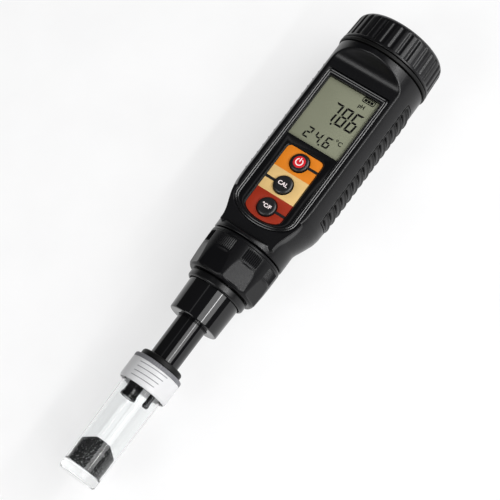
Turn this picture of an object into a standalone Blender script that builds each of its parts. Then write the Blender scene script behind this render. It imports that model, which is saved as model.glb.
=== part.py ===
"""Pen-type pH tester with its storage vial fitted, lying on its back.

Row frame: origin under the middle of the tester on the surface it lies on,
+X to the display's right, +Y along the tester towards the battery cap, +Z out of the display.
Pen frame, used for every shape below, in millimetres: the Y axis is the tester's long axis,
y = 0 is the foot of the storage vial, and z = 0 is the height of the long axis.
"""
import math

import bmesh
import bpy
from mathutils import Matrix, Vector

MM = 0.001
GAP = 0.3                     # clearance between pieces that touch on the real tester

# Driving dimensions, millimetres
LENGTH = 185.0                # vial foot to the top of the battery cap
BODY_R = 17.2                 # round barrel of the housing
REST_Z = -17.8                # flat rail on the back of the housing
RAIL_HALF = 6.5
PANEL_Z = 10.7                # flat front panel
PANEL_TOP = 165.7             # where the panel meets the scoop
SCOOP_RUN = 5.0               # length of the scoop along the tester
SCOOP_RISE = 9.3              # height of the scoop over the panel
NECK_R = 13.6                 # housing just above the collar
NECK_END = 94.0
THREAD_R = 10.8               # lower thread, inside the collar
THREAD_END = 82.0
CAP_SEAM = 171.5              # top shoulder of the housing
CAP_THREAD_R = 15.0
CAP_THREAD_TOP = 180.0
CAP_R = 17.6
CAP_RIBS = 32
RIB_DEPTH = 0.35
CEILING_Z = 8.5               # inside face of the front panel
CAVITY_R = 14.0
LENS_FLOOR_Z = 9.2            # bottom of the recess that holds the lens
LENS_HALF = 12.2
LENS_TOP = 160.4
LENS_BEND = 107.2             # centre of the rounded lower end of the lens
LENS_END_DEPTH = 7.0
LENS_Z = 10.6
LCD_HALF = 10.4
LCD_BOTTOM = 133.1
LCD_TOP = 158.2
KEYPAD_HALF = 7.2
KEYPAD_TOP = 130.1
KEYPAD_BEND = 105.6
KEYPAD_END_DEPTH = 3.3
KEYPAD_POCKET_Z = 10.05
BUTTONS = {"power": 125.9, "cal": 116.5, "unit": 107.2}
BUTTON_R = 3.3
BUTTON_TOP_Z = 11.1
GRIP_TOP_TIP = 162.5
GRIP_PITCH = 3.25
GRIP_FINS = 15
GRIP_ARC = (-28.0, 12.0)      # degrees above the side of the barrel
GRIP_R = 17.6                 # tips of the fins
GRIP_ROOT_R = 17.0            # between the fins
GRIP_FLOOR_R = 16.2           # inner face of a grip
GRIP_HEAD = 2.2               # plain strip above the last fin
COLLAR_R = 13.6
BARREL_R = 9.6
SHAFT_R = 5.4
PLUG_R = 7.9
PIN_R = 0.6
PIN_CIRCLE = 3.0              # circle that the three contact pins stand on
PIN_CENTRE_Z = -2.2
GUARD_R = 5.2
TIP_END = 30.3
RING_R = 9.1
RING_TOP = 44.5
RING_BOTTOM = 35.0
VIAL_TOP_R = 7.3
VIAL_FOOT_R = 6.9
VIAL_WALL = 0.7
VIAL_FLOOR = 3.1
MOUTH_TOP = 41.9
CELL_R = 5.8
CELL_HEIGHT = 5.4
CELL_START = 163.4

BLACK = (0.012, 0.012, 0.013)
SOFT_BLACK = (0.02, 0.02, 0.021)
CLEAR = (0.85, 0.88, 0.88)
STEEL = (0.6, 0.6, 0.6)
GOLD = (0.83, 0.6, 0.2)


def clear_scene():
    for old in list(bpy.data.objects):
        bpy.data.objects.remove(old)


def turned(profile, steps=36, arc=(0.0, 360.0)):
    """Solid of revolution about Y. A profile that starts and ends on the axis is solid."""
    bm = bmesh.new()
    turn = Matrix.Rotation(math.radians(-arc[0]), 3, "Y")
    verts = [bm.verts.new(turn @ Vector((r, y, 0.0)) * MM) for r, y in profile]
    edges = [bm.edges.new(pair) for pair in zip(verts, verts[1:])]
    if profile[0][0] > 0.0:
        edges.append(bm.edges.new((verts[-1], verts[0])))
    sweep = arc[1] - arc[0]
    full = sweep >= 360.0
    made = bmesh.ops.spin(
        bm, geom=verts + edges, cent=(0, 0, 0), axis=(0, -1, 0),
        angle=math.radians(sweep), steps=steps, use_duplicate=False,
    )
    if not full:
        last = [item for item in made["geom_last"] if isinstance(item, bmesh.types.BMVert)]
        bm.faces.new(verts)
        bm.faces.new(last)
    bmesh.ops.remove_doubles(bm, verts=bm.verts, dist=0.001 * MM)
    bmesh.ops.recalc_face_normals(bm, faces=bm.faces)
    return bm


def prism(outline, low, high, along="Z"):
    """Straight solid: an outline in the XY plane raised along Z, or in YZ raised along X."""
    bm = bmesh.new()
    if along == "Z":
        verts = [bm.verts.new(Vector((a, b, low)) * MM) for a, b in outline]
        lift = Vector((0, 0, high - low))
    else:
        verts = [bm.verts.new(Vector((low, a, b)) * MM) for a, b in outline]
        lift = Vector((high - low, 0, 0))
    base = bm.faces.new(verts)
    top = bmesh.ops.extrude_face_region(bm, geom=[base])["geom"]
    moved = [item for item in top if isinstance(item, bmesh.types.BMVert)]
    bmesh.ops.translate(bm, verts=moved, vec=lift * MM)
    bmesh.ops.recalc_face_normals(bm, faces=bm.faces)
    return bm


def disc(radius, low, high, centre=(0.0, 0.0), segments=24):
    """Round plug standing along Z at centre (x, y)."""
    circle = [
        (centre[0] + radius * math.cos(t), centre[1] + radius * math.sin(t))
        for t in (math.tau * i / segments for i in range(segments))
    ]
    return prism(circle, low, high)


def rod(radius, low, high, centre):
    """Thin round bar along the tester through a pen-frame point."""
    bm = turned([(0, low), (radius, low), (radius, high), (0, high)], 12)
    bmesh.ops.translate(bm, verts=bm.verts, vec=centre * MM)
    return bm


def rectangle(half, low, high):
    return [(-half, low), (half, low), (half, high), (-half, high)]


def tongue(half, bend, depth, top, corner, steps=14):
    """Outline with a straight top, cut corners and a half-ellipse for its lower end."""
    arc = [math.pi + math.pi * i / steps for i in range(steps + 1)]
    lower = [(half * math.cos(t), bend + depth * math.sin(t)) for t in arc]
    upper = [(half, top - corner), (half - corner, top), (corner - half, top), (-half, top - corner)]
    return lower + upper


def add(name, bm, colour, at=(0.0, 0.0, 0.0), roughness=0.4, metallic=0.0, alpha=1.0):
    """Turn a mesh drawn in the pen frame into a node whose origin is at a pen-frame point."""
    origin = Vector(at) * MM
    bmesh.ops.translate(bm, verts=bm.verts, vec=-origin)
    mesh = bpy.data.meshes.new(name)
    bm.to_mesh(mesh)
    bm.free()
    mesh.shade_smooth()
    mesh.set_sharp_from_angle(angle=math.radians(35))
    material = bpy.data.materials.new(name)
    material.use_nodes = True
    shader = material.node_tree.nodes["Principled BSDF"]
    shader.inputs["Base Color"].default_value = (*colour, 1.0)
    shader.inputs["Roughness"].default_value = roughness
    shader.inputs["Metallic"].default_value = metallic
    shader.inputs["Alpha"].default_value = alpha
    mesh.materials.append(material)
    node = bpy.data.objects.new(name, mesh)
    bpy.context.collection.objects.link(node)
    node.parent = pen
    node.location = origin
    return node


def combine(node, bm, operation="DIFFERENCE"):
    """Join a shape to a node, or cut it away, with a hidden tool object."""
    tool = add(f"tool_{node.name}_{len(node.modifiers)}", bm, STEEL)
    tool.hide_render = True
    tool.display_type = "WIRE"
    modifier = node.modifiers.new(tool.name, "BOOLEAN")
    modifier.operation = operation
    modifier.object = tool


def grip_pocket(side, clearance):
    """Outline space of one side grip, as a swept block."""
    low = GRIP_TOP_TIP - GRIP_PITCH * GRIP_FINS - clearance
    high = GRIP_TOP_TIP + GRIP_HEAD + clearance
    inner = GRIP_FLOOR_R - clearance
    block = [(inner, low), (BODY_R + 2.0, low), (BODY_R + 2.0, high), (inner, high)]
    return turned(block, 5, side_arc(side, clearance))


def side_arc(side, clearance=0.0):
    """Arc of a side grip in degrees from +X towards +Z, for the right or the left side."""
    slack = math.degrees(clearance / GRIP_R)
    low, high = GRIP_ARC[0] - slack, GRIP_ARC[1] + slack
    return (low, high) if side == "right" else (180.0 - high, 180.0 - low)


def make_housing():
    outer = [
        (0, THREAD_END), (THREAD_R, THREAD_END), (THREAD_R, NECK_END - GAP), (NECK_R, NECK_END - GAP),
        (NECK_R, 100.8), (14.0, 102.1), (15.2, 104.8), (16.6, 108.3), (17.05, 110.5), (BODY_R, 114.0),
        (BODY_R, CAP_SEAM), (CAP_THREAD_R, CAP_SEAM), (CAP_THREAD_R, CAP_THREAD_TOP), (0, CAP_THREAD_TOP),
    ]
    housing = add("main_housing", turned(outer, 48), BLACK, roughness=0.35)
    tongue_plate = [(-10.9, 96.6), (-9.4, 95.1), (9.4, 95.1), (10.9, 96.6), (10.9, 110.0), (-10.9, 110.0)]
    combine(housing, prism(tongue_plate, 5.0, PANEL_Z), "UNION")
    rail = [
        (-RAIL_HALF, 118.0), (-4.5, 114.0), (4.5, 114.0), (RAIL_HALF, 118.0),
        (RAIL_HALF, 164.0), (4.5, 168.0), (-4.5, 168.0), (-RAIL_HALF, 164.0),
    ]
    combine(housing, prism(rail, REST_Z, -15.5), "UNION")
    front = [
        (95.2, PANEL_Z), (PANEL_TOP, PANEL_Z), (PANEL_TOP + SCOOP_RUN, PANEL_Z + SCOOP_RISE),
        (PANEL_TOP + SCOOP_RUN, 24.0), (94.2, 24.0), (94.2, 14.0),
    ]
    combine(housing, prism(front, -20.0, 20.0, "X"))
    inside = [(0, 101.2), (9.0, 101.2), (12.0, 104.0), (CAVITY_R, 109.5), (CAVITY_R, CAP_SEAM), (0, CAP_SEAM)]
    cavity = turned(inside)
    ceiling = bmesh.ops.bisect_plane(
        cavity, geom=cavity.verts[:] + cavity.edges[:] + cavity.faces[:],
        plane_co=(0, 0, CEILING_Z * MM), plane_no=(0, 0, 1), clear_outer=True,
    )
    rim = [item for item in ceiling["geom_cut"] if isinstance(item, bmesh.types.BMEdge)]
    bmesh.ops.holes_fill(cavity, edges=rim)
    combine(housing, cavity)
    combine(housing, turned([(0, 170.2), (13.0, 170.2), (13.0, 182.0), (0, 182.0)]))
    combine(housing, turned([(0, 80.0), (8.4, 80.0), (8.4, 102.5), (0, 102.5)]))
    recess = tongue(LENS_HALF + GAP, LENS_BEND, LENS_END_DEPTH + GAP, LENS_TOP + GAP, 2.0)
    combine(housing, prism(recess, LENS_FLOOR_Z, 13.0))
    combine(housing, prism(rectangle(LCD_HALF + GAP, LCD_BOTTOM - GAP, LCD_TOP + GAP), 7.0, 12.0))
    for y in BUTTONS.values():
        combine(housing, disc(BUTTON_R + GAP, 7.0, 12.0, (0.0, y)))
    for side in ("left", "right"):
        combine(housing, grip_pocket(side, GAP))


def make_grips():
    """Rubber side grips with saw-tooth fins, steep on the side that faces the electrode."""
    low = GRIP_TOP_TIP - GRIP_PITCH * GRIP_FINS
    teeth = []
    for i in range(GRIP_FINS):
        tip = GRIP_TOP_TIP - GRIP_PITCH * (GRIP_FINS - 1 - i)
        teeth += [(GRIP_ROOT_R, tip - 0.7), (GRIP_R, tip - 0.5), (GRIP_R, tip), (GRIP_ROOT_R, tip + 2.0)]
    high = GRIP_TOP_TIP + GRIP_HEAD
    profile = [(GRIP_FLOOR_R, low), (GRIP_ROOT_R, low)] + teeth + [(GRIP_ROOT_R, high), (GRIP_FLOOR_R, high)]
    for side in ("left", "right"):
        add(f"grip_{side}", turned(profile, 5, side_arc(side)), SOFT_BLACK, roughness=0.7)


def make_lens():
    plate = tongue(LENS_HALF, LENS_BEND, LENS_END_DEPTH, LENS_TOP, 1.8)
    lens = add("display_lens", prism(plate, LENS_FLOOR_Z + GAP, LENS_Z), BLACK, roughness=0.08)
    combine(lens, prism(keypad_outline(GAP), KEYPAD_POCKET_Z - 0.1, 12.0))
    for y in BUTTONS.values():
        combine(lens, disc(BUTTON_R + GAP, 7.0, 12.0, (0.0, y)))


def keypad_outline(clearance=0.0):
    half, depth, top = KEYPAD_HALF + clearance, KEYPAD_END_DEPTH + clearance, KEYPAD_TOP + clearance
    return tongue(half, KEYPAD_BEND, depth, top, 1.5)


def make_display():
    glass = rectangle(LCD_HALF, LCD_BOTTOM, LCD_TOP)
    add("lcd_glass", prism(glass, 7.4, 9.1), (0.22, 0.23, 0.16), roughness=0.15)
    frame = add("lcd_frame", prism(rectangle(11.0, 131.5, 159.8), 5.5, 7.1), (0.7, 0.7, 0.68))
    combine(frame, prism(rectangle(8.6, 136.0, 155.3), 5.0, 8.0))


def make_electronics():
    add("circuit_board", prism(rectangle(10.5, 104.5, 159.8), 3.6, 5.2), (0.02, 0.16, 0.06))
    add("processor_chip", prism(rectangle(3.6, 142.0, 149.2), 2.1, 3.3), SOFT_BLACK)
    for key, y in BUTTONS.items():
        add(f"{key}_switch", disc(2.6, 5.5, 6.1, (0.0, y), 12), STEEL, metallic=1.0, roughness=0.3)


def make_keypad():
    overlay = add("keypad_overlay", prism(keypad_outline(), KEYPAD_POCKET_Z + 0.2, LENS_Z), (0.8, 0.4, 0.1))
    for y in BUTTONS.values():
        combine(overlay, disc(BUTTON_R + GAP, 7.0, 12.0, (0.0, y)))
    for key, y in BUTTONS.items():
        make_button(key, y)


def make_button(key, y):
    """Key cap with a flange that keeps it under the panel and a stem over its switch."""
    colour = (0.45, 0.02, 0.01) if key == "power" else SOFT_BLACK
    section = [
        (0.0, 6.8), (1.5, 6.8), (1.5, 7.3), (4.2, 7.3), (4.2, 8.1), (BUTTON_R, 8.1),
        (BUTTON_R, BUTTON_TOP_Z - 0.4), (BUTTON_R - 0.4, BUTTON_TOP_Z), (0.0, BUTTON_TOP_Z),
    ]
    bm = turned(section, 20)
    bmesh.ops.rotate(bm, verts=bm.verts, matrix=Matrix.Rotation(math.radians(90), 3, "X"))
    bmesh.ops.translate(bm, verts=bm.verts, vec=Vector((0, y, 0)) * MM)
    add(f"{key}_button", bm, colour, at=(0.0, y, BUTTON_TOP_Z), roughness=0.5)


def make_battery():
    holder = [
        (2.0, 161.0), (7.0, 161.0), (7.0, 177.6), (12.7, 177.6), (12.7, 179.4),
        (CELL_R + GAP, 179.4), (CELL_R + GAP, 162.0), (2.0, 162.0),
    ]
    add("battery_holder", turned(holder, 36), SOFT_BLACK)
    contact = [(0, 162.3), (5.0, 162.3), (5.0, 162.7), (1.5, 163.1), (0, 163.1)]
    add("battery_contact", turned(contact, 24), GOLD, metallic=1.0)
    for i in range(3):
        foot = CELL_START + i * (CELL_HEIGHT + GAP)
        head = foot + CELL_HEIGHT
        cell = [(0, foot), (CELL_R - 0.7, foot), (CELL_R, foot + 0.9), (CELL_R, head), (0, head)]
        add(f"button_cell_{i + 1}", turned(cell, 24), STEEL, metallic=1.0, roughness=0.25)


def make_cap():
    seal = [(15.4, CAP_SEAM + GAP), (17.6, CAP_SEAM + GAP), (17.7, 172.4), (17.6, 173.0), (15.4, 173.0)]
    add("cap_seal", turned(seal, 40), SOFT_BLACK, at=(0, CAP_SEAM, 0), roughness=0.8)
    outer = [
        (CAP_THREAD_R + 0.4, 173.3), (CAP_R, 173.3), (CAP_R, 174.2), (17.1, 182.4), (16.8, 183.4),
        (15.9, 184.5), (14.6, LENGTH), (0, LENGTH), (0, 181.6), (CAP_THREAD_R + 0.4, 181.6),
    ]
    bm = turned([outer[-2], outer[-1]] + outer[:-2], CAP_RIBS * 2)
    for vert in bm.verts:
        radius = math.hypot(vert.co.x, vert.co.z)
        around = math.atan2(vert.co.z, vert.co.x) * CAP_RIBS
        if radius > 16.95 * MM and vert.co.y > 174.0 * MM:
            shrink = 1.0 - RIB_DEPTH * MM / radius * (0.5 - 0.5 * math.cos(around))
            vert.co.x *= shrink
            vert.co.z *= shrink
    add("battery_cap", bm, BLACK, at=(0, CAP_SEAM, 0), roughness=0.4)
    contact = [(0, 180.6), (6.0, 180.6), (6.0, 181.3), (0, 181.3)]
    add("cap_contact", turned(contact, 28), GOLD, metallic=1.0)


def make_collar():
    profile = [
        (BARREL_R + 0.35, 78.1), (12.4, 78.1), (13.2, 79.4), (13.45, 84.0), (COLLAR_R, 92.8),
        (13.2, 93.4), (THREAD_R + 0.4, 93.4), (THREAD_R + 0.4, 80.3), (BARREL_R + 0.35, 80.3),
    ]
    add("collar_nut", turned(profile, 44), BLACK, at=(0, NECK_END, 0), roughness=0.35)


def make_electrode():
    barrel = [
        (0, 70.3), (SHAFT_R + GAP, 70.3), (SHAFT_R + GAP, 63.0), (8.9, 63.0), (9.25, 63.4),
        (BARREL_R, 75.0), (BARREL_R, 80.6), (10.6, 80.6), (10.6, 81.7), (0, 81.7),
    ]
    add("electrode_barrel", turned(barrel), BLACK, roughness=0.12)
    bore = BARREL_R + 0.35
    ring = [(bore, 75.0), (10.5, 75.0), (10.9, 75.5), (10.9, 77.4), (10.7, 77.8), (bore, 77.8)]
    add("barrel_ring", turned(ring), BLACK, roughness=0.3)
    plug = [
        (0, 82.0), (PLUG_R, 82.0), (PLUG_R, 85.8), (6.8, 85.8), (6.8, 87.6), (PLUG_R, 87.6),
        (PLUG_R, 95.9), (7.3, 96.5), (0, 96.5),
    ]
    add("electrode_plug", turned(plug, 36), SOFT_BLACK)
    around = [math.tau * i / 8 for i in range(8)]
    bead = [(PLUG_R - GAP + 0.5 * math.cos(t), 86.7 + 0.5 * math.sin(t)) for t in around]
    add("plug_o_ring", turned(bead, 24), SOFT_BLACK, roughness=0.8)
    make_socket()
    shaft = [(4.2, 38.0), (5.3, 38.0), (SHAFT_R, 63.0), (SHAFT_R, 70.0), (4.2, 70.0)]
    add("electrode_shaft", turned(shaft, 36), BLACK, roughness=0.12)
    make_tip()


def make_socket():
    """Socket above the plug, cut flat under the circuit board, with three spring pins."""
    block = [(0, 97.3), (8.1, 97.3), (8.1, 103.4), (0, 103.4)]
    socket = add("electrode_socket", turned(block, 36), (0.6, 0.6, 0.55))
    combine(socket, prism([(-9, 96), (9, 96), (9, 105), (-9, 105)], 3.2, 10.0))
    for i in range(3):
        turn = math.radians(90 + 120 * i)
        centre = Vector((PIN_CIRCLE * math.cos(turn), 0, PIN_CENTRE_Z + PIN_CIRCLE * math.sin(turn)))
        add(f"contact_pin_{i + 1}", rod(PIN_R, 96.8, 101.6, centre), GOLD, metallic=1.0)
        combine(socket, rod(PIN_R + GAP + 0.1, 96.0, 104.0, centre))


def make_tip():
    """Slotted guard around the pH-sensitive glass bulb, the junction ring and the thermistor."""
    rim = [(4.3, TIP_END), (4.9, TIP_END), (GUARD_R, TIP_END + 0.4), (GUARD_R, 37.7), (4.3, 37.7)]
    guard = add("electrode_guard", turned(rim, 36), BLACK, roughness=0.15)
    slot = rectangle(1.4, 32.0, 36.4)
    combine(guard, prism(slot, -8.0, 8.0))
    bulb_r, bulb_y, stem_r = 2.9, 34.4, 2.2
    arc = [math.radians(a) for a in range(-90, 42, 11)]
    bulb = [(0.0, bulb_y - bulb_r)]
    bulb += [(bulb_r * math.cos(a), bulb_y + bulb_r * math.sin(a)) for a in arc[1:]]
    bulb += [(stem_r, 37.2), (stem_r, 69.0), (0, 69.0)]
    add("glass_electrode", turned(bulb, 24), CLEAR, roughness=0.05, alpha=0.4)
    junction = [(2.5, 38.3), (3.9, 38.3), (3.9, 40.5), (2.5, 40.5)]
    add("reference_junction", turned(junction, 24), (0.8, 0.8, 0.75))
    probe = turned([(0, 33.0), (0.42, 33.4), (0.42, 38.0), (0, 38.0)], 10)
    bmesh.ops.translate(probe, verts=probe.verts, vec=Vector((3.65, 0, 0)) * MM)
    add("temperature_sensor", probe, STEEL, metallic=1.0)


def make_vial():
    mouth = SHAFT_R + GAP
    stopper = [
        (mouth, 38.0), (6.7, 38.0), (6.7, 44.8), (7.7, 44.8), (7.7, 45.9), (7.2, 46.8),
        (mouth + 0.2, 47.4), (mouth, 47.4),
    ]
    add("rubber_stopper", turned(stopper, 32), SOFT_BLACK, roughness=0.8)
    ring = [
        (8.3, RING_BOTTOM), (8.7, RING_BOTTOM), (RING_R, 36.0), (RING_R, RING_TOP - 0.4), (8.8, RING_TOP),
        (7.0, RING_TOP), (7.0, 43.1), (8.3, 43.1),
    ]
    add("vial_screw_ring", turned(ring, 36), CLEAR, roughness=0.1, alpha=0.4)
    add("vial_gasket", turned([(7.05, 42.2), (8.0, 42.2), (8.0, 42.8), (7.05, 42.8)], 36), (0.8, 0.8, 0.8))
    inside_top = VIAL_TOP_R - VIAL_WALL
    inside_foot = VIAL_FOOT_R - VIAL_WALL
    vial = [
        (0, 0), (VIAL_FOOT_R - 0.6, 0), (VIAL_FOOT_R, 0.6), (VIAL_TOP_R, 35.2), (8.0, 36.2),
        (8.0, MOUTH_TOP), (7.0, MOUTH_TOP), (7.0, 36.4), (inside_top, 35.4), (inside_foot, VIAL_FLOOR),
        (0, VIAL_FLOOR),
    ]
    add("storage_vial", turned(vial, 36), CLEAR, roughness=0.05, alpha=0.35)
    foot_r = inside_foot - GAP
    low = VIAL_FLOOR + GAP
    sponge = [(0, low), (foot_r, low), (foot_r + 0.1, 11.2), (4.6, 12.6), (2.2, 13.8), (0, 13.9)]
    add("sponge", turned(sponge, 28), (0.03, 0.03, 0.035), roughness=0.95)


clear_scene()
pen = bpy.data.objects.new("pen_axis", None)
bpy.context.collection.objects.link(pen)
pen.location = Vector((0.0, -0.5 * LENGTH, -REST_Z)) * MM
make_housing()
make_grips()
make_lens()
make_display()
make_electronics()
make_keypad()
make_battery()
make_cap()
make_collar()
make_electrode()
make_vial()
bpy.context.view_layer.update()
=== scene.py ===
"""Looks of the pen-type pH tester: camera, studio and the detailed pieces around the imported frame.

Pen frame, used for every shape below, in millimetres: Y runs along the tester from the foot of
the storage vial to the battery cap, and x = z = 0 is its long axis. pen() turns it into metres.
"""
import math

import bmesh
import bpy
import numpy as np
from mathutils import Matrix, Vector


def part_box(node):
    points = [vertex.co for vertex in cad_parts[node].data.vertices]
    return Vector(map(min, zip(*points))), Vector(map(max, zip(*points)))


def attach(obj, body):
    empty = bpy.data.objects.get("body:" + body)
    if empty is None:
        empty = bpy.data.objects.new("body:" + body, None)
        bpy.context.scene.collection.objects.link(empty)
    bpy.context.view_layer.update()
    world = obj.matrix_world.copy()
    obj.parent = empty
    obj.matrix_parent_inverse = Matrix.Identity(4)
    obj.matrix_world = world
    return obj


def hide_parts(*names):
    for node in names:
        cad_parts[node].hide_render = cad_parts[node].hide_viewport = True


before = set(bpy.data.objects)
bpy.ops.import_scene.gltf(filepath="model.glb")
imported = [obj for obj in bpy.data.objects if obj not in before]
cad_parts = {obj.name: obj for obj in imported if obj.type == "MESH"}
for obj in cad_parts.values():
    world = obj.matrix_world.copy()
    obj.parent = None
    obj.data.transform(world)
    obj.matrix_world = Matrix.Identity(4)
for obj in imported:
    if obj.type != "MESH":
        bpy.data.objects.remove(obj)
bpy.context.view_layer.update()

MM = 0.001
FOOT_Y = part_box("storage_vial")[0][1]
AXIS_Z = 0.5 * (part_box("collar_nut")[0][2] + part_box("collar_nut")[1][2])


def top_of(node):
    """Far end of a node along the tester, in the pen frame."""
    return (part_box(node)[1][1] - FOOT_Y) / MM


def foot_of(node):
    return (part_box(node)[0][1] - FOOT_Y) / MM


LENGTH = top_of("battery_cap")
BODY_R = 17.2
PANEL_Z = 10.35                 # height of the flat front panel above the long axis
PANEL_TOP = 165.7               # where the panel turns up into the scoop
SCOOP_SLOPE = 1.86
SCOOP_BLEND = 4.2
TONGUE_FOOT = 96.2              # where the panel drops away above the collar
TONGUE_SLOPE = 2.6
TONGUE_HALF = 10.8              # half width of the panel at its foot
TONGUE_SPREAD = 3.1             # how much wider each side is beside the window
RECESS_DEPTH = 1.9              # pocket in the panel behind the window
NECK_R = 13.6
NECK_TOP = 100.8
THREAD_LOW = 93.9               # below this the barrel is the round thread for the collar
RAIL_HALF = 6.5
RAIL_Z = 17.8
GRIP_ARC = (-28.4, 15.4)        # degrees from +X towards +Z
GRIP_LOW, GRIP_HIGH = 113.7, 164.6
GRIP_POCKET_R = 16.2
GRIP_PITCH = 3.25
FIN_TIP = 162.5
FIN_LEAN = 0.05                 # millimetres that a fin drops per degree around the barrel
FIN_STEP = 0.15
SHOULDER = foot_of("main_housing")
CAP_SEAM = 171.5
LENS_HALF = 12.2
LENS_TOP = 160.4
LENS_BEND = 107.2
LENS_END_DEPTH = 7.0
LENS_Z = 10.6
FIELD_Z = LENS_Z - 0.35         # flat face of the window frame, below its rim
BEZEL_LOW = 9.0
KEYPAD_HALF = 7.2
KEYPAD_TOP = 130.1
KEYPAD_BEND = 105.6
KEYPAD_END_DEPTH = 3.3
FILM_LOW = 9.2
FILM_TOP = LENS_Z - 0.7
BUTTON_Y = {"power": 125.9, "cal": 116.5, "unit": 107.2}
BUTTON_R = 3.3
BUTTON_LOW = 9.1
BUTTON_TOP = (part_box("cal_button")[1][2] - AXIS_Z) / MM
LCD_HALF = 10.4
LCD_LOW = foot_of("lcd_glass")
LCD_HIGH = top_of("lcd_glass")
LCD_Z = (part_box("lcd_glass")[1][2] - AXIS_Z) / MM
VIEW_AIM_Y = 94.3               # place along the tester that the camera and the lights face
VIEW_LEAN = 12.8
VIEW_DISTANCE = 0.5824          # metres


def pen(x, y, z):
    return Vector((x * MM, FOOT_Y + y * MM, AXIS_Z + z * MM))


def axes_at(x_axis, y_axis, z_axis, place):
    turn = Matrix((x_axis, y_axis, z_axis)).transposed()
    return Matrix.Translation(place) @ turn.to_4x4()


# ---------------------------------------------------------------- camera and studio

def make_camera():
    """Looks down on the display from the electrode's end, turned to the display's right."""
    side, low, turn = math.radians(20.0), math.radians(VIEW_LEAN), math.radians(36.92)
    out = Vector((math.sin(side) * math.cos(low), -math.sin(low), math.cos(side) * math.cos(low)))
    along = (Vector((0, 1, 0)) - out * out.y).normalized()
    across = along.cross(out)
    right = along * math.sin(turn) + across * math.cos(turn)
    up = along * math.cos(turn) - across * math.sin(turn)
    data = bpy.data.cameras.new("camera")
    data.sensor_width = 36.0
    data.lens = 126.0
    camera = bpy.data.objects.new("camera", data)
    bpy.context.collection.objects.link(camera)
    target = pen(0, VIEW_AIM_Y, 0) + across * 0.69 * MM
    camera.matrix_world = axes_at(right, up, out, target + out * VIEW_DISTANCE)
    bpy.context.scene.camera = camera


def make_light(name, across, lean, distance, width, length, radiance):
    """Soft box parallel to the tester, with its size and distance in metres.

    across is its angle from +Z towards +X and lean its angle towards the cap, in degrees.
    """
    turn, tip = math.radians(across), math.radians(lean)
    out = Vector((math.sin(turn) * math.cos(tip), math.sin(tip), math.cos(turn) * math.cos(tip)))
    along = (Vector((0, 1, 0)) - out * out.y).normalized()
    data = bpy.data.lights.new(name, "AREA")
    data.shape = "RECTANGLE"
    data.size, data.size_y = width, length
    data.energy = radiance * width * length * math.pi
    light = bpy.data.objects.new(name, data)
    bpy.context.collection.objects.link(light)
    light.matrix_world = axes_at(along.cross(out), along, out, pen(0, VIEW_AIM_Y, 0) + out * distance)


def make_studio():
    """Pale floor with a long soft box and tube on the right and a low box at the foot."""
    world = bpy.data.worlds.new("studio")
    world.use_nodes = True
    sky = world.node_tree.nodes["Background"]
    sky.inputs["Color"].default_value = (1.0, 1.0, 1.0, 1.0)
    sky.inputs["Strength"].default_value = 0.07
    bpy.context.scene.world = world
    bpy.context.scene.view_settings.view_transform = "Standard"
    make_light("key_box", 45.0, VIEW_LEAN, 0.80, 0.66, 1.5, 3.3)
    make_light("key_tube", 46.4, VIEW_LEAN, 0.78, 0.035, 1.5, 20.0)
    make_light("faint_tube", -16.0, VIEW_LEAN, 0.9, 0.06, 1.4, 0.6)
    make_light("foot_box", -22.0, -42.0, 0.9, 0.5, 0.4, 4.5)
    bpy.ops.mesh.primitive_plane_add(size=6.0, location=(0, 0, 0))
    floor = bpy.context.object
    floor.name = "floor"
    card = paint("floor_card", (0.27, 0.27, 0.272), 0.8, grain=0.02, scale=300.0, glow=0.66, spec=0.1)
    floor.data.materials.append(card)


# ---------------------------------------------------------------- materials

SPECK_GREY = (0.45, 0.46, 0.46, 1.0)


def link(tree, source, target):
    tree.links.new(source, target)


def colour_socket(colour, gain=1.0, lift=0.0):
    return (*[min(1.0, c * gain + lift) for c in colour], 1.0)


def noise(tree, scale, detail):
    """Noise texture in the piece's own coordinates."""
    place = tree.nodes.new("ShaderNodeTexCoord")
    texture = tree.nodes.new("ShaderNodeTexNoise")
    texture.inputs["Scale"].default_value = scale
    texture.inputs["Detail"].default_value = detail
    link(tree, place.outputs["Object"], texture.inputs["Vector"])
    return texture.outputs["Fac"]


def ranged(tree, value, low, high, to_low=0.0, to_high=1.0):
    node = tree.nodes.new("ShaderNodeMapRange")
    for name, number in (("From Min", low), ("From Max", high), ("To Min", to_low), ("To Max", to_high)):
        node.inputs[name].default_value = number
    link(tree, value, node.inputs["Value"])
    return node.outputs["Result"]


def mixed(tree, factor, first, second):
    """Mix of a colour or a socket with a second colour."""
    node = tree.nodes.new("ShaderNodeMixRGB")
    if isinstance(first, tuple):
        node.inputs["Color1"].default_value = first
    else:
        link(tree, first, node.inputs["Color1"])
    node.inputs["Color2"].default_value = second
    link(tree, factor, node.inputs["Fac"])
    return node.outputs["Color"]


def fine_bump(tree, strength, scale):
    bump = tree.nodes.new("ShaderNodeBump")
    bump.inputs["Strength"].default_value = strength
    bump.inputs["Distance"].default_value = 0.05 * MM
    link(tree, noise(tree, scale, 2.0), bump.inputs["Height"])
    return bump.outputs["Normal"]


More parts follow.
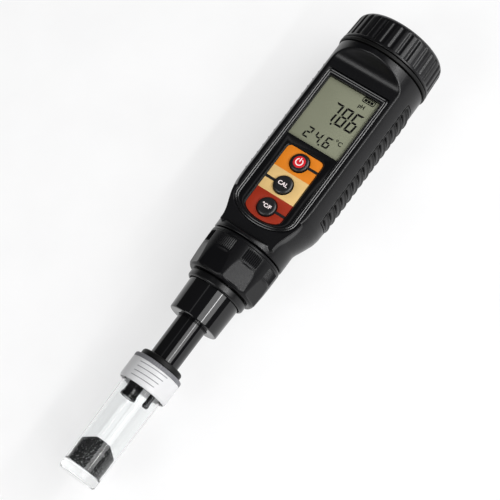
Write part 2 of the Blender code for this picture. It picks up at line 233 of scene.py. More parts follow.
def paint(name, colour, roughness, metallic=0.0, grain=0.15, scale=900.0, mottle=0.12, rough_var=0.08,
          glow=0.0, coat=0.0, clear=0.0, ior=1.5, wear=0.0, spec=0.5, specks=0.0):
    """Procedural moulded surface.

    It varies in colour (mottle) and gloss (rough_var), has a fine texture (grain), lighter worn
    edges (wear) and pale specks where a fine noise rises above the level of specks.
    """
    material = bpy.data.materials.new(name)
    material.use_nodes = True
    tree = material.node_tree
    put = tree.nodes["Principled BSDF"].inputs
    fixed = {
        "Metallic": metallic, "IOR": ior, "Transmission Weight": clear, "Specular IOR Level": spec,
        "Coat Weight": coat, "Coat Roughness": 0.05,
        "Emission Color": (1.0, 1.0, 1.0, 1.0), "Emission Strength": glow,
    }
    for socket, value in fixed.items():
        put[socket].default_value = value
    broad = noise(tree, scale * 0.12, 4.0)
    shade = mixed(tree, broad, colour_socket(colour, 1.0 - mottle), colour_socket(colour, 1.0 + mottle))
    if wear:
        edge = tree.nodes.new("ShaderNodeNewGeometry").outputs["Pointiness"]
        worn = ranged(tree, edge, 0.53, 0.62, to_high=wear)
        shade = mixed(tree, worn, shade, colour_socket(colour, 3.0, 0.03))
    if specks:
        dots = ranged(tree, noise(tree, scale * 3.0, 2.0), specks, specks + 0.06)
        shade = mixed(tree, dots, shade, SPECK_GREY)
    link(tree, shade, put["Base Color"])
    gloss = ranged(tree, broad, 0.0, 1.0, max(0.0, roughness - rough_var), roughness + rough_var)
    link(tree, gloss, put["Roughness"])
    if grain:
        link(tree, fine_bump(tree, grain, scale * 4.0), put["Normal"])
    return material


# ---------------------------------------------------------------- shape tools

def finish_piece(name, mesh, material, body, nodes=(), smooth=40.0):
    mesh.shade_smooth()
    mesh.set_sharp_from_angle(angle=math.radians(smooth))
    mesh.materials.append(material)
    piece = bpy.data.objects.new(name, mesh)
    bpy.context.collection.objects.link(piece)
    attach(piece, body)
    if nodes:
        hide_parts(*nodes)
    return piece


def rounded(points, radius=0.3, steps=4):
    """Rounds the inner corners of an open outline with short curves."""
    pts = [np.array(p, float) for p in points]
    out = [pts[0]]
    for before, corner, after in zip(pts, pts[1:], pts[2:]):
        reach_in = min(radius, 0.48 * np.linalg.norm(before - corner))
        reach_out = min(radius, 0.48 * np.linalg.norm(after - corner))
        start = corner + (before - corner) / np.linalg.norm(before - corner) * reach_in
        end = corner + (after - corner) / np.linalg.norm(after - corner) * reach_out
        for i in range(steps + 1):
            t = i / steps
            out.append((1 - t) ** 2 * start + 2 * t * (1 - t) * corner + t * t * end)
    out.append(pts[-1])
    return np.array(out)


def densified(points, spacing):
    out = [points[0]]
    for a, b in zip(points, points[1:]):
        count = max(1, math.ceil(np.linalg.norm(b - a) / spacing))
        out += [a + (b - a) * i / count for i in range(1, count + 1)]
    return np.array(out)


def turned(profile, angles=None, steps=96, shape=None, closed=False):
    """Surface of revolution about the long axis. angles are degrees from +X towards +Z.

    shape(angle, radius, y) may give each point its own radius. An open profile that meets
    the axis ends in a point there; a closed one makes a ring.
    """
    profile = np.asarray(profile, float)
    full = angles is None
    angles = np.radians(np.arange(steps) * 360.0 / steps if full else np.asarray(angles, float))
    r, y = profile[:, 0][:, None], profile[:, 1][:, None]
    a = angles[None, :]
    radius = np.broadcast_to(r, (len(profile), len(angles))).copy()
    if shape is not None:
        radius = np.where(r > 1e-6, shape(a, radius, y + 0.0 * a), 0.0)
    co = np.stack([radius * np.cos(a), y + 0.0 * a, radius * np.sin(a)], axis=-1)
    rows, cols = co.shape[:2]
    verts = [pen(*p) for p in co.reshape(-1, 3)]
    faces = []
    for i in range(rows if closed else rows - 1):
        for j in range(cols if full else cols - 1):
            k, m = (i + 1) % rows, (j + 1) % cols
            faces.append((i * cols + j, i * cols + m, k * cols + m, k * cols + j))
    if not full and closed:
        faces.append([i * cols for i in range(rows)])
        faces.append([i * cols + cols - 1 for i in reversed(range(rows))])
    mesh = bpy.data.meshes.new("turned")
    mesh.from_pydata(verts, [], faces)
    return cleaned(mesh)


def cleaned(mesh):
    """Joins doubled points, such as those on the axis, and turns all faces outwards."""
    bm = bmesh.new()
    bm.from_mesh(mesh)
    bmesh.ops.remove_doubles(bm, verts=bm.verts, dist=0.0005 * MM)
    bmesh.ops.recalc_face_normals(bm, faces=bm.faces)
    bm.to_mesh(mesh)
    bm.free()
    return mesh


def smooth_min(a, b, blend):
    h = np.clip(0.5 + 0.5 * (b - a) / blend, 0.0, 1.0)
    return b * (1 - h) + a * h - blend * h * (1 - h)


def smooth_max(a, b, blend):
    return -smooth_min(-a, -b, blend)


def ramp(value, low, high):
    t = np.clip((value - low) / (high - low), 0.0, 1.0)
    return t * t * (3 - 2 * t)


def tongue(half, bend, depth, top, corner, grow=0.0, steps=28):
    """Outline with a straight top, rounded upper corners and a half-ellipse for its lower end."""
    half, depth, top = half + grow, depth + grow, top + grow
    arc = [math.pi + math.pi * i / steps for i in range(steps + 1)]
    points = [(half * math.cos(t), bend + depth * math.sin(t)) for t in arc]
    points += corner_arc(half - corner, top - corner, corner, 0.0)
    points += corner_arc(corner - half, top - corner, corner, 90.0)
    return points


def corner_arc(x, y, radius, start, steps=6):
    turn = [math.radians(start + 90.0 * i / steps) for i in range(steps + 1)]
    return [(x + radius * math.cos(t), y + radius * math.sin(t)) for t in turn]


def rounded_box(x0, y0, x1, y1, corner):
    left, right, low, high = x0 + corner, x1 - corner, y0 + corner, y1 - corner
    upper = corner_arc(right, high, corner, 0) + corner_arc(left, high, corner, 90)
    lower = corner_arc(left, low, corner, 180) + corner_arc(right, low, corner, 270)
    return upper + lower


def circle(x, y, radius, steps=48):
    turn = [math.tau * i / steps for i in range(steps)]
    return [(x + radius * math.cos(t), y + radius * math.sin(t)) for t in turn]


def mesh_of(curve):
    """Mesh of a curve or a text, which is then removed."""
    holder = bpy.data.objects.new("holder", curve)
    bpy.context.collection.objects.link(holder)
    bpy.context.view_layer.update()
    mesh = bpy.data.meshes.new_from_object(holder.evaluated_get(bpy.context.evaluated_depsgraph_get()))
    bpy.data.objects.remove(holder)
    bpy.data.curves.remove(curve)
    return mesh


def plate(outlines, low, high, bevel):
    """Flat piece between two heights from an outline and its holes, with rounded edges."""
    curve = bpy.data.curves.new("plate", "CURVE")
    curve.dimensions = "2D"
    curve.fill_mode = "BOTH"
    curve.extrude = (0.5 * (high - low) - bevel) * MM
    curve.bevel_depth = bevel * MM
    curve.bevel_resolution = 2
    curve.offset = -bevel * MM
    for number, outline in enumerate(outlines):
        points = outline if number == 0 else outline[::-1]
        spline = curve.splines.new("POLY")
        spline.points.add(len(points) - 1)
        spline.use_cyclic_u = True
        for point, (x, y) in zip(spline.points, points):
            point.co = (x * MM, y * MM, 0.0, 1.0)
    mesh = mesh_of(curve)
    mesh.transform(Matrix.Translation(pen(0, 0, 0.5 * (low + high))))
    return cleaned(mesh)


def words(text, x, y, z, height, thickness=0.03):
    """Raised printed legend centred at (x, y)."""
    font = bpy.data.curves.new("legend", "FONT")
    font.body = text
    font.align_x = "CENTER"
    font.align_y = "CENTER"
    font.size = height * MM
    font.extrude = thickness * MM
    font.offset = 0.04 * MM
    mesh = mesh_of(font)
    mesh.transform(Matrix.Translation(pen(x, y, z)))
    return cleaned(mesh)


# ---------------------------------------------------------------- housing

def outline_distance(x, y, half, bend, depth, top):
    """Roughly how far a point lies outside a tongue-shaped outline; negative inside."""
    straight = np.maximum(np.abs(x) - half, y - top)
    below = (np.hypot(x / half, (y - bend) / depth) - 1.0) * depth
    return np.where(y < bend, below, straight)


def window_between(value, low, high, soft):
    """One between low and high, falling to zero over soft outside them."""
    return ramp(value, low - soft, low) * ramp(-value, -high - soft, -high)


def front_height(y):
    """Height of the panel plane, rising into the scoop and dropping at the foot of the tongue."""
    scooped = smooth_max(PANEL_Z + 0.0 * y, PANEL_Z + (y - PANEL_TOP) * SCOOP_SLOPE, SCOOP_BLEND)
    return smooth_max(scooped, PANEL_Z + (TONGUE_FOOT - y) * TONGUE_SLOPE, 0.25)


def tongue_radius(a, y, side, up):
    """Flat slab that carries the panel down past the narrowing barrel."""
    half = TONGUE_HALF + TONGUE_SPREAD * ramp(y, 96.5, 108.5)
    slab = smooth_min(half / side, PANEL_Z / up, 0.5)
    return np.where(np.sin(a) > 0.3, slab, 0.0) * ramp(y, 94.8, 95.5) * ramp(-y, -112.0, -108.0)


def rail_radius(a, y, side):
    """Flat-faced rail along the back, on which the tester lies."""
    down = np.maximum(-np.sin(a), 1e-3)
    rail = smooth_min(RAIL_HALF / side, RAIL_Z / down, 0.6)
    return np.where(np.sin(a) < -0.7, rail, 0.0) * window_between(y, 114.6, 167.4, 1.0)


def housing_radius(a, r, y):
    """Round barrel cut by the flat front panel and its scoop, with the tongue, the rail and grip pockets."""
    up = np.maximum(np.sin(a), 1e-3)
    side = np.maximum(np.abs(np.cos(a)), 1e-3)
    front = front_height(y)
    x = front / np.tan(np.clip(a, 0.05, math.pi - 0.05))
    lens = outline_distance(x, y, LENS_HALF + 0.3, LENS_BEND, LENS_END_DEPTH + 0.3, LENS_TOP + 0.3)
    front = front - RECESS_DEPTH * (1 - ramp(lens, -0.3, 0.0)) * (up > 0.4)
    cut = np.where(np.sin(a) > 0.05, front / up, 1e3)
    barrel = np.where(y > THREAD_LOW, smooth_min(r, cut, 0.75), r)
    slab = np.where(lens > 0.1, tongue_radius(a, y, side, up), 0.0)
    barrel = np.where((r > 13.0) & (y > 94.0), np.maximum(barrel, slab), barrel)
    barrel = np.where(r > 14.0, np.maximum(barrel, rail_radius(a, y, side)), barrel)
    off = np.abs((np.degrees(a) + 90.0) % 360.0 - 180.0)
    pocket = window_between(off, 75.5, 117.5, 1.0) * window_between(y, GRIP_LOW + 0.1, GRIP_HIGH - 0.1, 0.4)
    return np.where(r > 15.5, barrel - pocket * np.maximum(barrel - GRIP_POCKET_R, 0.0), barrel)


def make_housing(black):
    """Outside of the housing from the collar's thread to the spigot inside the battery cap."""
    outline = [
        (8.4, 101.0), (8.4, SHOULDER), (10.8, SHOULDER), (10.8, 93.7), (NECK_R, 93.7), (NECK_R, NECK_TOP),
        (14.0, 102.1), (15.2, 104.8), (16.6, 108.3), (17.05, 110.5), (BODY_R, 114.0), (BODY_R, CAP_SEAM),
        (15.0, CAP_SEAM), (15.0, 180.0), (13.2, 180.0), (13.2, 172.0),
    ]
    profile = densified(rounded(outline, 0.5, 5), 0.32)
    fine, middle, coarse = 0.4, 1.0, 1.5
    full_turn = 390.0           # meets the first angle, 30
    angles = np.concatenate([
        np.arange(30, 66, fine), np.arange(66, 114, middle), np.arange(114, 150, fine),
        np.arange(150, full_turn, coarse), [full_turn],
    ])
    mesh = turned(profile, angles, shape=housing_radius)
    finish_piece("housing_shell", mesh, black, "housing", ["main_housing"], smooth=50.0)


def fin_radius(down, y):
    """Flat fins with a slit between them and a raised lip on the slit's electrode side.

    down is the angle below the grip's upper edge, in degrees.
    """
    phase = ((FIN_TIP - y - FIN_LEAN * down) / GRIP_PITCH) % 1.0
    slit = ramp(phase, 0.36, 0.52) * (1.0 - ramp(phase, 0.66, 0.82))
    lip = ramp(phase, 0.72, 0.86) * (1.0 - ramp(phase, 0.92, 1.0))
    inside = window_between(y, 115.0, 163.2, 1.0) * ramp(down, 0.5, 4.0)
    return BODY_R + inside * (0.45 * lip - 0.95 * slit)


def make_grips(rubber):
    """Finned rubber pads in the pockets on both sides."""
    inner = GRIP_POCKET_R - 0.1
    face = [(BODY_R - 0.2, y) for y in np.arange(GRIP_LOW, GRIP_HIGH, FIN_STEP)]
    profile = [(inner, GRIP_LOW)] + face + [(inner, GRIP_HIGH)]
    low, high = GRIP_ARC
    sides = (("grip_right", low, high, high), ("grip_left", 180.0 - high, 180.0 - low, 180.0 - high))
    for name, first, last, upper in sides:

        def radius(a, r, y, upper=upper):
            return np.where(r > inner + 0.4, fin_radius(np.abs(np.degrees(a) - upper), y), r)

        mesh = turned(profile, np.linspace(first, last, 45), shape=radius, closed=True)
        finish_piece(f"{name}_fins", mesh, rubber, "housing", [name])


# ---------------------------------------------------------------- display and keys

def keypad_outline(grow=0.0):
    return tongue(KEYPAD_HALF, KEYPAD_BEND, KEYPAD_END_DEPTH, KEYPAD_TOP, max(1.6 + grow, 0.2), grow)


def loft(outline_at, steps):
    """Surface through copies of an outline, each with its own growth and height."""
    rings = [[pen(x, y, z) for x, y in outline_at(grow)] for grow, z in steps]
    count = len(rings[0])
    faces = []
    for i in range(len(rings) - 1):
        for j in range(count):
            k = (j + 1) % count
            faces.append((i * count + j, i * count + k, (i + 1) * count + k, (i + 1) * count + j))
    mesh = bpy.data.meshes.new("loft")
    mesh.from_pydata([point for ring in rings for point in ring], [], faces)
    return cleaned(mesh)


def lens_outline(grow=0.0):
    return tongue(LENS_HALF, LENS_BEND, LENS_END_DEPTH, LENS_TOP, max(1.4 + grow, 0.2), grow)


def make_bezel(gloss, bright):
    """Gloss window frame with a faceted double rim and chamfered edges around the keypad."""
    window = rounded_box(-LCD_HALF, LCD_LOW, LCD_HALF, LCD_HIGH, 0.5)
    face = plate([lens_outline(-1.5), window, keypad_outline(0.55)], 9.3, FIELD_Z, 0.05)
    finish_piece("bezel_face", face, gloss, "housing", ["display_lens"])
    outer, inner = FIELD_Z + 0.16, FIELD_Z + 0.15
    rim = loft(lens_outline, [
        (0.0, BEZEL_LOW), (0.0, FIELD_Z), (-0.24, outer), (-0.34, outer), (-0.58, FIELD_Z), (-0.8, FIELD_Z),
        (-1.02, inner), (-1.12, inner), (-1.34, FIELD_Z), (-1.6, FIELD_Z - 0.02), (-1.6, BEZEL_LOW),
    ])
    finish_piece("bezel_rim", rim, bright, "housing", (), smooth=15.0)
    crest = FIELD_Z + 0.02
    edge = loft(keypad_outline, [
        (0.65, BEZEL_LOW), (0.65, crest), (0.5, crest), (0.02, FIELD_Z - 0.5), (0.02, BEZEL_LOW),
    ])
    finish_piece("keypad_edge", edge, bright, "housing", (), smooth=15.0)


SEGMENTS = {
    "2": "abged", "4": "fgbc", "6": "afgedc", "7": "abc", "8": "abcdefg",
}


def segment_outlines(digit, x, y, width, height, stroke, slant):
    """Seven-segment strokes of a digit, with its lower left corner at (x, y)."""
    half = 0.5 * height
    s = stroke
    gap = 0.18 * s
    strokes = {
        "a": [(gap, height), (width - gap, height), (width - s, height - s), (s, height - s)],
        "d": [(s, s), (width - s, s), (width - gap, 0), (gap, 0)],
        "g": [(s * 0.7, half), (s * 1.2, half + s * 0.5), (width - s * 1.2, half + s * 0.5),
              (width - s * 0.7, half), (width - s * 1.2, half - s * 0.5), (s * 1.2, half - s * 0.5)],
        "b": [(width, height - gap), (width, half + gap), (width - s, half + s * 0.6),
              (width - s, height - s - gap)],
        "c": [(width, half - gap), (width, gap), (width - s, s + gap), (width - s, half - s * 0.6)],
        "f": [(0, height - gap), (s, height - s - gap), (s, half + s * 0.6), (0, half + gap)],
        "e": [(0, half - gap), (s, half - s * 0.6), (s, s + gap), (0, gap)],
    }
    return [[(x + px + slant * py, y + py) for px, py in strokes[key]] for key in SEGMENTS[digit]]


def ink(outlines, z):
    """Thin printed marks: each outline becomes its own flat raised patch."""
    bm = bmesh.new()
    for outline in outlines:
        base = bm.faces.new([bm.verts.new(pen(x, y, z)) for x, y in outline])
        grown = bmesh.ops.extrude_face_region(bm, geom=[base])["geom"]
        lifted = [item for item in grown if isinstance(item, bmesh.types.BMVert)]
        bmesh.ops.translate(bm, verts=lifted, vec=Vector((0, 0, 0.04 * MM)))
    bmesh.ops.recalc_face_normals(bm, faces=bm.faces)
    mesh = bpy.data.meshes.new("ink")
    bm.to_mesh(mesh)
    bm.free()
    return mesh


def frame_of(outline, inset):
    """Splits a ring between an outline and its inset copy into quads."""
    cx = sum(p[0] for p in outline) / len(outline)
    cy = sum(p[1] for p in outline) / len(outline)
    w = max(abs(p[0] - cx) for p in outline)
    h = max(abs(p[1] - cy) for p in outline)
    small = [(cx + (x - cx) * (1 - inset / w), cy + (y - cy) * (1 - inset / h)) for x, y in outline]
    count = len(outline)
    return [[outline[i], outline[(i + 1) % count], small[(i + 1) % count], small[i]] for i in range(count)]


def make_lcd(screen, digits_ink):
    """Display glass with two rows of digits, their points and units, and a battery sign."""
    inset = 0.1
    glass = rounded_box(-LCD_HALF + inset, LCD_LOW + inset, LCD_HALF - inset, LCD_HIGH - inset, 0.3)
    face = plate([glass], 7.5, LCD_Z, 0.05)
    finish_piece("lcd_face", face, screen, "housing", ["lcd_glass"])
    marks = []
    slant = 0.09
    for digit, x in (("7", -3.4), ("8", 0.7), ("6", 4.7)):
        marks += segment_outlines(digit, x, 143.9, 3.1, 7.6, 0.72, slant)
    for digit, x in (("2", -6.0), ("4", -2.1), ("6", 1.8)):
        marks += segment_outlines(digit, x, 135.0, 2.4, 4.3, 0.58, slant)
    marks += [rounded_box(-0.3, 143.2, 0.4, 143.9, 0.15), rounded_box(0.7, 134.7, 1.3, 135.3, 0.12)]
    marks += frame_of(rounded_box(3.9, 156.0, 8.7, 158.0, 0.6), 0.28)
    marks += [rounded_box(4.6 + 1.2 * i, 156.5, 5.6 + 1.2 * i, 157.5, 0.1) for i in range(3)]
    marks += frame_of(circle(5.6, 139.6, 0.42, 12), 0.2)
    finish_piece("lcd_digits", ink(marks, LCD_Z), digits_ink, "housing", ())
    sign = words("pH", 5.2, 154.2, LCD_Z + 0.02, 2.0)
    finish_piece("lcd_unit_ph", sign, digits_ink, "housing", ())
    sign = words("C", 7.1, 138.9, LCD_Z + 0.02, 2.3)
    finish_piece("lcd_unit_c", sign, digits_ink, "housing", ())


def band(low, high, grow=-0.05):
    """Part of the keypad's outline between two places along the tester."""
    points = []
    for x, y in densified(np.array(keypad_outline(grow) + keypad_outline(grow)[:1]), 0.3):
        points.append((float(x), float(min(max(y, low), high))))
    kept = [points[0]]
    for point in points[1:]:
        if math.dist(point, kept[-1]) > 0.02:
            kept.append(point)
    if math.dist(kept[0], kept[-1]) < 0.02:
        kept.pop()
    return kept


BANDS = {"orange": (121.2, 140.0), "cream": (112.0, 121.2), "red": (90.0, 112.0)}


def make_keypad(films, black):
    """Printed film in three bands, with a bar from each key to an edge."""
    for number, (name, (start, stop)) in enumerate(BANDS.items()):
        hole = [circle(0, y, BUTTON_R + 0.3) for y in BUTTON_Y.values() if start < y < stop]
        mesh = plate([band(start, stop)] + hole, FILM_LOW, FILM_TOP, 0.02)
        replaced = ["keypad_overlay"] if number == 0 else ()
        finish_piece(f"keypad_{name}", mesh, films[name], "housing", replaced)
    bars = []
    bar_half = 0.5
    for key, way in (("power", 1), ("cal", -1), ("unit", 1)):
        low, high = BUTTON_Y[key] - bar_half, BUTTON_Y[key] + bar_half
        start, stop = sorted((way * (BUTTON_R + 0.1), way * KEYPAD_HALF))
        bars.append([(start, low), (stop, low), (stop, high), (start, high)])
    finish_piece("keypad_bars", ink(bars, FILM_TOP), black, "housing", ())


def key_mesh(radius, low, top, dish=0.12, lip=0.35):
    """Round key with a rolled edge and a slightly dished crown, standing along Z."""
    outline = [
        (0.0, top - dish), (radius * 0.45, top - dish * 0.75), (radius - 0.75, top), (radius, top - lip),
        (radius, low), (0.0, low),
    ]
    profile = rounded(outline, 0.35, 5)
    bm = bmesh.new()
    verts = [bm.verts.new((r * MM, 0, z * MM)) for r, z in profile]
    edges = [bm.edges.new(pair) for pair in zip(verts, verts[1:])]
    bmesh.ops.spin(bm, geom=verts + edges, cent=(0, 0, 0), axis=(0, 0, 1), angle=math.tau, steps=64)
    mesh = bpy.data.meshes.new("key")
    bm.to_mesh(mesh)
    bm.free()
    return mesh


def placed(mesh, x, y):
    mesh.transform(Matrix.Translation(pen(x, y, 0)))
    return cleaned(mesh)


def make_buttons(black, red, white):
    """Three round keys with their marks; the power key has a red cap."""
    for key, y in BUTTON_Y.items():
        body = f"{key}_button"
        mesh = placed(key_mesh(BUTTON_R, BUTTON_LOW, BUTTON_TOP - 0.12), 0, y)
        finish_piece(f"{key}_key_ring", mesh, black, body, [body])
    y = BUTTON_Y["power"]
    mesh = placed(key_mesh(2.45, 10.2, BUTTON_TOP - 0.02, 0.1, 0.2), 0, y)
    finish_piece("power_key_cap", mesh, red, "power_button", ())
    mark = ink(power_symbol(y), BUTTON_TOP - 0.08)
    finish_piece("power_mark", mark, white, "power_button", ())
    legend_z = BUTTON_TOP - 0.1
    mark = words("CAL", 0, BUTTON_Y["cal"], legend_z, 2.0)
    finish_piece("cal_mark", mark, white, "cal_button", ())
    mark = words("°C/F", 0, BUTTON_Y["unit"], legend_z, 1.9)
    finish_piece("unit_mark", mark, white, "unit_button", ())


def power_symbol(y):
    """Open ring with an upright stroke in its gap."""
    outer, inner = 1.4, 1.04
    sweep = np.radians(np.arange(-240, 61, 12.0))
    outlines = []
    for a, b in zip(sweep, sweep[1:]):
        outlines.append([(outer * math.cos(t), y + outer * math.sin(t)) for t in (a, b)]
                        + [(inner * math.cos(t), y + inner * math.sin(t)) for t in (b, a)])
    outlines.append(rounded_box(-0.18, y + 0.1, 0.18, y + 1.65, 0.15))
    return outlines


# ---------------------------------------------------------------- cap, collar, electrode

def cap_radius(a, r, y):
    """Shallow grip grooves all round, stopping short of both rims."""
    ribs = 32
    wave = np.abs(np.sin(0.5 * ribs * a))
    groove = (1.0 - ramp(wave, 0.15, 0.9)) * window_between(y, 174.6, 182.7, 0.6)
    return np.where(r > 16.2, r - 0.4 * groove, r)


def make_cap(black, rubber):
    """Ribbed screw cap, hollow from below, and the sealing ring under it."""
    outline = [
        (0, LENGTH), (14.4, LENGTH), (15.9, 184.5), (16.75, 183.5), (17.05, 182.4), (17.45, 174.4),
        (17.6, 174.0), (17.6, 173.3), (15.5, 173.3), (15.5, 181.6), (0, 181.6),
    ]
    profile = densified(rounded(outline, 0.45, 4), 0.6)
    mesh = turned(profile, steps=576, shape=cap_radius)
    finish_piece("cap_shell", mesh, black, "battery_cap", ["battery_cap"])
    ring = rounded([
        (16.5, 171.8), (17.6, 171.8), (17.7, 172.4), (17.6, 173.0), (15.4, 173.0), (15.4, 171.8),
        (16.5, 171.8),
    ], 0.2)
    mesh = turned(ring, closed=True, steps=128)
    finish_piece("cap_seal_ring", mesh, rubber, "cap_seal", ["cap_seal"])


COLLAR_RIBS = 120
FACET_TURN = 90.0 - 33.0        # degrees from +X towards +Z to the middle of the first flat


def facet_offset(a):
    """Angle from the middle of the nearest of the collar's eight flats, in degrees."""
    return np.abs((np.degrees(a) - FACET_TURN + 22.5) % 45.0 - 22.5)


def collar_radius(a, r, y):
    """Eight flats that widen downwards, a patch of fine ribs above each, and a line under the rim."""
    off = facet_offset(a)
    flat = (12.25 + (y - 79.0) * 0.105) / np.cos(np.radians(off))
    flat_zone = window_between(y, 79.3, 86.3, 0.6)
    radius = r * (1 - flat_zone) + smooth_min(r, flat, 0.1) * flat_zone
    ridge = 0.5 + 0.5 * np.cos(COLLAR_RIBS * a)
    patch = (1 - ramp(off, 13.0, 14.0)) * window_between(y, 87.5, 91.3, 0.3)
    groove = (1 - ramp(np.abs(y - 92.1), 0.08, 0.2)) * 0.2
    return np.where(r > 12.0, radius - patch * (0.05 + 0.24 * ridge) - groove, r)


def make_collar(black):
    """Nut that clamps the electrode, with a thread bore above its shoulder."""
    outline = [
        (9.95, 80.3), (9.95, 78.1), (12.2, 78.1), (13.1, 79.3), (13.4, 84.0), (13.55, 92.6), (13.2, 93.4),
        (11.2, 93.4), (11.2, 80.3), (9.95, 80.3),
    ]
    profile = densified(rounded(outline, 0.4, 4), 0.3)
    mesh = turned(profile, steps=720, shape=collar_radius, closed=True)
    finish_piece("collar_shell", mesh, black, "collar", ["collar_nut"])


def make_electrode(gloss, satin, glass, probe_metal):
    """Barrel, the ring around it, the shaft and the tip."""
    barrel = rounded([
        (0, 70.3), (5.7, 70.3), (5.7, 63.0), (8.95, 63.0), (9.25, 63.3), (9.6, 75.0), (9.6, 80.6),
        (10.6, 80.6), (10.6, 81.7), (0, 81.7),
    ], 0.25)
    mesh = turned(barrel, steps=128)
    finish_piece("barrel_skin", mesh, gloss, "electrode", ["electrode_barrel"])
    ring = rounded([
        (9.95, 76.0), (9.95, 75.0), (10.4, 75.0), (10.9, 75.5), (10.9, 77.5), (10.7, 77.8), (9.95, 77.8),
        (9.95, 76.0),
    ], 0.3)
    mesh = turned(ring, steps=128, closed=True)
    finish_piece("barrel_ring_skin", mesh, satin, "electrode", ["barrel_ring"])
    shaft = rounded([
        (4.2, 50.0), (4.2, 38.0), (5.3, 38.0), (5.4, 63.0), (5.4, 70.0), (4.2, 70.0), (4.2, 50.0),
    ], 0.2)
    mesh = turned(shaft, steps=96, closed=True)
    finish_piece("shaft_skin", mesh, gloss, "electrode", ["electrode_shaft"])
    make_tip(gloss, glass, probe_metal)


BULB_PLACE = (-2.3, 0.85)        # x and z of its centre
PROBE_PLACE = (3.75, -1.35)


def make_tip(gloss, glass, probe_metal):
    """Open sleeve around the glass bulb on one side of the tip, and the temperature probe on the other."""
    root = rounded([(0, 37.3), (4.3, 37.3), (5.2, 37.3), (5.2, 38.2), (0, 38.2)], 0.15)
    finish_piece("tip_root", turned(root, steps=96), gloss, "electrode", ["electrode_guard"])
    sleeve = rounded([
        (2.0, 34.0), (2.0, 30.9), (2.35, 30.4), (2.7, 30.4), (2.9, 30.7), (2.9, 31.3), (2.6, 32.2),
        (2.6, 37.6), (2.0, 37.6), (2.0, 34.0),
    ], 0.2)
    mesh = beside(turned(sleeve, steps=72, closed=True), *BULB_PLACE)
    finish_piece("bulb_sleeve", mesh, gloss, "electrode", ())
    bulb = rounded([(0, 30.25), (0.9, 30.3), (1.6, 30.5), (1.97, 31.0), (1.97, 37.0), (0, 37.0)], 0.3)
    mesh = beside(turned(bulb, steps=48), *BULB_PLACE)
    nodes = ["glass_electrode", "reference_junction"]
    finish_piece("glass_bulb", mesh, glass, "electrode", nodes)
    probe = rounded([
        (0, 31.0), (0.8, 31.0), (1.15, 31.6), (1.15, 32.3), (1.0, 32.6), (1.0, 37.6), (0, 37.6),
    ], 0.2)
    mesh = beside(turned(probe, steps=40), *PROBE_PLACE)
    finish_piece("temperature_probe", mesh, probe_metal, "electrode", ["temperature_sensor"])


def beside(mesh, x, z):
    """Moves a turned shape off the long axis."""
    mesh.transform(Matrix.Translation((x * MM, 0.0, z * MM)))
    return mesh


THREAD_RISE = 0.045             # climb along the tester per distance across it


def make_vial(clear, frosted, grey, rubber, foam):
    """Stopper, screw ring with its milled rim and its thread drawn as painted refraction lines on the camera
    side, clear vial and the sponge in it.
    """
    stopper = rounded([
        (5.7, 40.0), (5.7, 38.0), (6.7, 38.0), (6.7, 44.7), (7.7, 44.7), (7.7, 46.3), (7.3, 46.8),
        (5.9, 46.8), (5.7, 46.6), (5.7, 40.0),
    ], 0.3)
    mesh = turned(stopper, steps=96, closed=True)
    finish_piece("stopper_skin", mesh, rubber, "vial_cap", ["rubber_stopper"])
    skirt = rounded([
        (8.3, 36.0), (8.3, 35.0), (8.8, 35.0), (9.05, 35.8), (9.05, 43.0), (8.3, 43.0), (8.3, 36.0),
    ], 0.25, 3)
    mesh = turned(skirt, steps=128, closed=True)
    finish_piece("screw_ring_skirt", mesh, frosted, "vial_cap", ["vial_screw_ring"])
    rim = rounded([
        (7.0, 44.0), (7.0, 43.1), (9.05, 43.0), (9.1, 43.2), (9.1, 44.1), (8.8, 44.5), (7.0, 44.5),
        (7.0, 44.0),
    ], 0.2, 3)

    def milled(a, r, y):
        return np.where(r > 8.9, r - 0.12 * (0.5 + 0.5 * np.cos(60 * a)), r)

    mesh = turned(rim, steps=360, shape=milled, closed=True)
    finish_piece("screw_ring_rim", mesh, grey, "vial_cap", ())
    # The thread turns are grey and drawn only on the side facing the camera: painted refraction lines of the
    # thread seen through the frosted skirt.
    for number in range(4):
        mesh = refraction_thread_mesh(number)
        finish_piece(f"screw_thread_painted_refraction_{number + 1}", mesh, grey, "vial_cap", ())
    vial = [
        (0, 0), (6.4, 0), (6.9, 0.5), (7.3, 35.2), (7.7, 35.9), (7.7, 41.9), (7.05, 41.9), (7.05, 36.4),
        (6.85, 35.4), (6.6, 3.6), (6.1, 3.1), (0, 3.1),
    ]
    mesh = turned(rounded(vial, 0.3, 3), steps=96)
    finish_piece("vial_skin", mesh, clear, "vial", ["storage_vial"])
    make_sponge(foam)


def refraction_thread_mesh(number):
    """Front stretch of one turn of the ring's thread, shorter and lower with each number, in grey on the
    camera side only: painted refraction lines where the thread shows through the frosted skirt.
    """
    centre, half = 41.9 - 1.65 * number, 0.17
    turn = np.radians(np.arange(0, 360, 45))
    section = [(8.95 + half * math.cos(t), centre + half * math.sin(t)) for t in turn]
    mesh = turned(section, np.linspace(42.0 + 4.0 * number, 112.0, 40), closed=True)
    for vertex in mesh.vertices:
        vertex.co.y += THREAD_RISE * vertex.co.x
    return mesh


def make_sponge(foam):
    """Open-cell foam plug with a rough, humped top and pitted sides."""
    rng = np.random.default_rng(7)
    foot, brim, hump, radius, spacing = 3.35, 11.6, 2.9, 6.45, 0.35
    heights = [foot, *np.arange(3.8, brim, spacing)]
    profile = [(0, foot)] + [(radius, y) for y in heights]
    for r in np.arange(6.1, 0.3, -spacing):
        profile.append((r, brim + hump * min(1.0, 1.7 * (1 - r / radius))))
    profile.append((0, brim + hump))
    bumps = rng.normal(0.0, 1.0, (len(profile), 72))

    def pitted(a, r, y):
        return np.where(r > 0.2, np.clip(r + 0.16 * bumps - 0.1, 0.05, 6.5), r)

    mesh = turned(profile, steps=72, shape=pitted)
    piece = finish_piece("sponge_foam", mesh, foam, "vial", ["sponge"])


def repaint(materials):
    """Better finishes for the CAD nodes that stay as they are."""
    for node, material in materials.items():
        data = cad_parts[node].data
        data.materials.clear()
        data.materials.append(material)


# ---------------------------------------------------------------- the scene

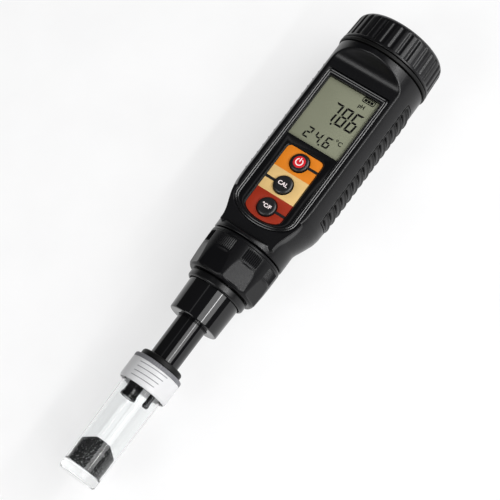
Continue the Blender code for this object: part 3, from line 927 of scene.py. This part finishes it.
make_camera()
make_studio()
housing_black = paint("housing_black", (0.0028, 0.0028, 0.0034), 0.3, grain=0.2, wear=0.25, spec=0.3)
cap_black = paint("cap_black", (0.003, 0.003, 0.0036), 0.3, grain=0.2, wear=0.2, spec=0.3)
collar_black = paint("collar_black", (0.003, 0.003, 0.0036), 0.33, grain=0.25, wear=0.25, spec=0.2)
grip_rubber = paint("grip_rubber", (0.003, 0.003, 0.0034), 0.4, grain=0.3, wear=0.1, spec=0.3)
seal_rubber = paint("seal_rubber_black", (0.003, 0.003, 0.003), 0.5, grain=0.25, spec=0.2)
gloss_black = paint("electrode_gloss", (0.003, 0.003, 0.0035), 0.06, grain=0.0, rough_var=0.02, spec=0.5)
ring_black = paint("ring_satin", (0.003, 0.003, 0.0035), 0.3, grain=0.15, spec=0.35)
bezel_gloss = paint("bezel_gloss", (0.002, 0.002, 0.0025), 0.12, grain=0.0, rough_var=0.03, spec=0.5)
bezel_rim = paint("bezel_rim", (0.003, 0.003, 0.0035), 0.24, grain=0.0, rough_var=0.03, spec=0.5)
lcd_screen = paint("lcd_screen", (0.19, 0.198, 0.14), 0.5, grain=0.05, mottle=0.05, spec=0.2)
lcd_ink = paint("lcd_ink", (0.004, 0.004, 0.004), 0.6, grain=0.05, spec=0.05)
ring_frosted = paint("ring_frosted", (0.8, 0.8, 0.81), 0.35, grain=0.1, mottle=0.03, clear=0.35, ior=1.35)
ring_grey_and_refraction = paint("ring_grey_and_refraction", (0.2, 0.2, 0.215), 0.3, grain=0.1, clear=0.3, ior=1.35)
key_black = paint("key_black", (0.008, 0.008, 0.009), 0.35, grain=0.15)
key_red = paint("key_red", (0.55, 0.012, 0.02), 0.3, grain=0.08, coat=0.2)
mark_white = paint("mark_white", (0.85, 0.75, 0.75), 0.45, grain=0.05)
films = {
    "orange": paint("film_orange", (0.62, 0.18, 0.008), 0.4, grain=0.05, mottle=0.1, coat=0.1),
    "cream": paint("film_cream", (0.62, 0.42, 0.17), 0.4, grain=0.05, mottle=0.1, coat=0.1),
    "red": paint("film_red", (0.26, 0.018, 0.004), 0.4, grain=0.05, mottle=0.15, coat=0.1),
}
clear_plastic = paint(
    "clear_plastic", (0.97, 0.98, 0.98), 0.03, grain=0.0, rough_var=0.01, clear=1.0, ior=1.35, mottle=0.0)
foam_black = paint(
    "foam_black", (0.006, 0.006, 0.007), 0.7, grain=0.9, scale=700.0, mottle=0.5, specks=0.62)
steel = paint("nickel", (0.6, 0.6, 0.6), 0.25, metallic=1.0, grain=0.05)
gold = paint("gold_plate", (0.8, 0.55, 0.18), 0.25, metallic=1.0, grain=0.05)
board_green = paint("board_green", (0.02, 0.14, 0.05), 0.4, grain=0.1, mottle=0.25)
white_moulding = paint("white_moulding", (0.6, 0.6, 0.57), 0.45, grain=0.1)
inner_black = paint("inner_black", (0.02, 0.02, 0.02), 0.5, grain=0.15)
bulb_glass = paint("bulb_glass", (0.8, 0.82, 0.83), 0.15, grain=0.0, mottle=0.05, clear=0.3, ior=1.4)
probe_grey = paint("probe_grey", (0.05, 0.05, 0.055), 0.25, metallic=0.6, grain=0.05)
make_housing(housing_black)
make_grips(grip_rubber)
make_bezel(bezel_gloss, bezel_rim)
make_lcd(lcd_screen, lcd_ink)
make_keypad(films, key_black)
make_buttons(key_black, key_red, mark_white)
make_cap(cap_black, seal_rubber)
make_collar(collar_black)
make_electrode(gloss_black, ring_black, bulb_glass, probe_grey)
make_vial(clear_plastic, ring_frosted, ring_grey_and_refraction, seal_rubber, foam_black)
repaint({
    "lcd_frame": white_moulding, "circuit_board": board_green, "processor_chip": inner_black,
    "power_switch": steel, "cal_switch": steel, "unit_switch": steel, "battery_holder": inner_black,
    "battery_contact": gold, "button_cell_1": steel, "button_cell_2": steel, "button_cell_3": steel,
    "electrode_socket": white_moulding, "cap_contact": gold, "electrode_plug": inner_black,
    "plug_o_ring": seal_rubber, "contact_pin_1": gold, "contact_pin_2": gold, "contact_pin_3": gold,
    "vial_gasket": white_moulding,
})
